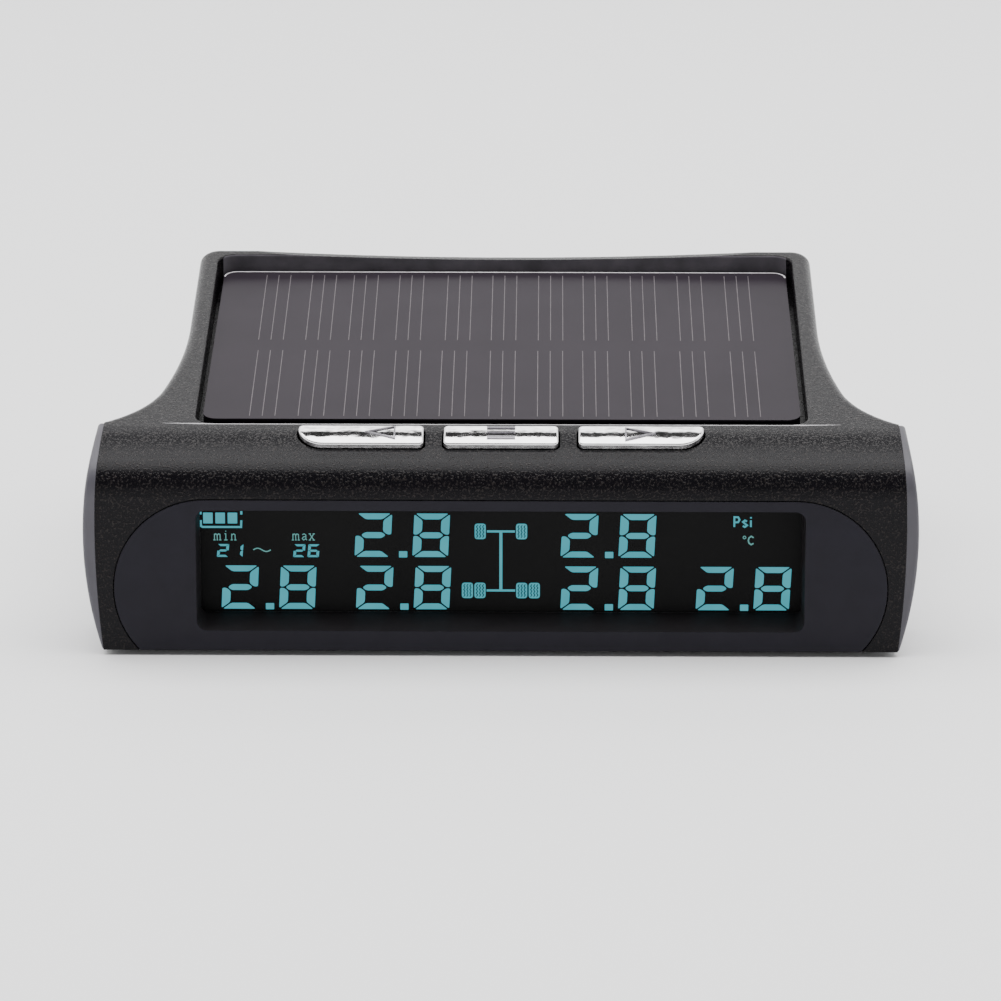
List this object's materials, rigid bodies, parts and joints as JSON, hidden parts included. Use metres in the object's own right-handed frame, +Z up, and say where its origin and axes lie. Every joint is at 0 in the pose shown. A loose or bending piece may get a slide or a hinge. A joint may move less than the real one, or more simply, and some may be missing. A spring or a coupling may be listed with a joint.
{
  "type": "tire pressure monitor",
  "caption": "Solar-charged dashboard tire pressure monitor: a wide display bar with plated keys and a flared, tilted solar deck behind it.",
  "frame": {"origin": "under the middle of the footprint, on the surface the monitor rests on", "axes": "+X to the viewer's right along the display bar, -Y the display side, +Z up"},
  "size_m": [0.1182, 0.075, 0.0401],
  "materials": {
    "black_shell": "fine leather-grain moulded plastic",
    "dark_bezel": "smooth satin plastic",
    "grey_cap": "smooth satin plastic",
    "base_plastic": "plain moulded plastic",
    "soft_pad": "soft grippy pad",
    "chrome_key": "bright plated plastic",
    "zinc_screw": "zinc-plated steel",
    "solar_film": "clear glossy resin film",
    "solar_cell": "dark silicon",
    "solar_board": "black laminate",
    "foam": "closed-cell foam tape",
    "lcd_glass": "polarised display glass",
    "diffuser": "translucent white film",
    "light_guide": "clear acrylic",
    "reflector": "white reflective film",
    "white_frame": "white moulded plastic",
    "led": "moulded emitter",
    "contact_rubber": "striped conductive rubber",
    "board_green": "solder-masked laminate",
    "chip_black": "moulded epoxy",
    "tin_can": "tinned steel",
    "copper_coil": "copper wire",
    "capacitor": "sleeved can",
    "connector": "nylon",
    "battery_wrap": "silver foil pouch",
    "wire_red": "insulated wire",
    "wire_black": "insulated wire",
    "ribbon": "flat flexible cable",
    "switch_plastic": "switch housing",
    "steel_plunger": "steel"
  },
  "bodies": {
    "monitor": {"antenna_coil": "copper_coil", "anti_slip_pad": "soft_pad", "backlight_diffuser": "diffuser", "backlight_guide": "light_guide", "backlight_leds": "led", "backlight_reflector": "reflector", "base_plate": "base_plastic", "base_screws": "zinc_screw", "battery_foam_tape": "foam", "battery_lead_black": "wire_black", "battery_lead_red": "wire_red", "battery_pack": "battery_wrap", "battery_plug": "connector", "battery_socket": "connector", "board_ribbon": "ribbon", "buzzer": "chip_black", "capacitors": "capacitor", "contact_strip": "contact_rubber", "controller_chip": "chip_black", "crystal": "tin_can", "display_board": "board_green", "display_board_screws": "zinc_screw", "display_driver_chip": "chip_black", "front_bezel": "dark_bezel", "key_board": "board_green", "key_board_screws": "zinc_screw", "key_ribbon": "ribbon", "lcd_frame": "white_frame", "lcd_front_glass": "lcd_glass", "lcd_gasket": "foam", "lcd_rear_glass": "lcd_glass", "left_end_cap": "grey_cap", "left_key_switch": "switch_plastic", "main_board": "board_green", "main_board_screws": "zinc_screw", "menu_key_switch": "switch_plastic", "motion_sensor": "chip_black", "power_switch_body": "switch_plastic", "receiver_board": "board_green", "receiver_can": "tin_can", "ribbon_plug": "connector", "right_end_cap": "grey_cap", "right_key_switch": "switch_plastic", "solar_board": "solar_board", "solar_cells": "solar_cell", "solar_film": "solar_film", "solar_foam_tape": "foam", "solar_lead_black": "wire_black", "solar_lead_red": "wire_red", "upper_housing": "black_shell", "usb_port_shell": "tin_can", "usb_port_tongue": "switch_plastic"},
    "left_key": {"left_button": "chrome_key", "left_switch_plunger": "steel_plunger"},
    "menu_key": {"menu_button": "chrome_key", "menu_switch_plunger": "steel_plunger"},
    "right_key": {"right_button": "chrome_key", "right_switch_plunger": "steel_plunger"},
    "power_knob": {"power_switch_knob": "switch_plastic"}
  },
  "joints": [
    {"name": "left_press", "type": "slide", "parent": "monitor", "child": "left_key", "axis": [0, 0.1642, -0.9864], "range_m": [0, 0.00035], "stiffness_N_per_m": 800, "springref_m": -0.0006},
    {"name": "menu_press", "type": "slide", "parent": "monitor", "child": "menu_key", "axis": [0, 0.1642, -0.9864], "range_m": [0, 0.00035], "stiffness_N_per_m": 800, "springref_m": -0.0006},
    {"name": "right_press", "type": "slide", "parent": "monitor", "child": "right_key", "axis": [0, 0.1642, -0.9864], "range_m": [0, 0.00035], "stiffness_N_per_m": 800, "springref_m": -0.0006},
    {"name": "power_slide", "type": "slide", "parent": "monitor", "child": "power_knob", "axis": [1, 0, 0], "range_m": [0, 0.0022]}
  ]
}
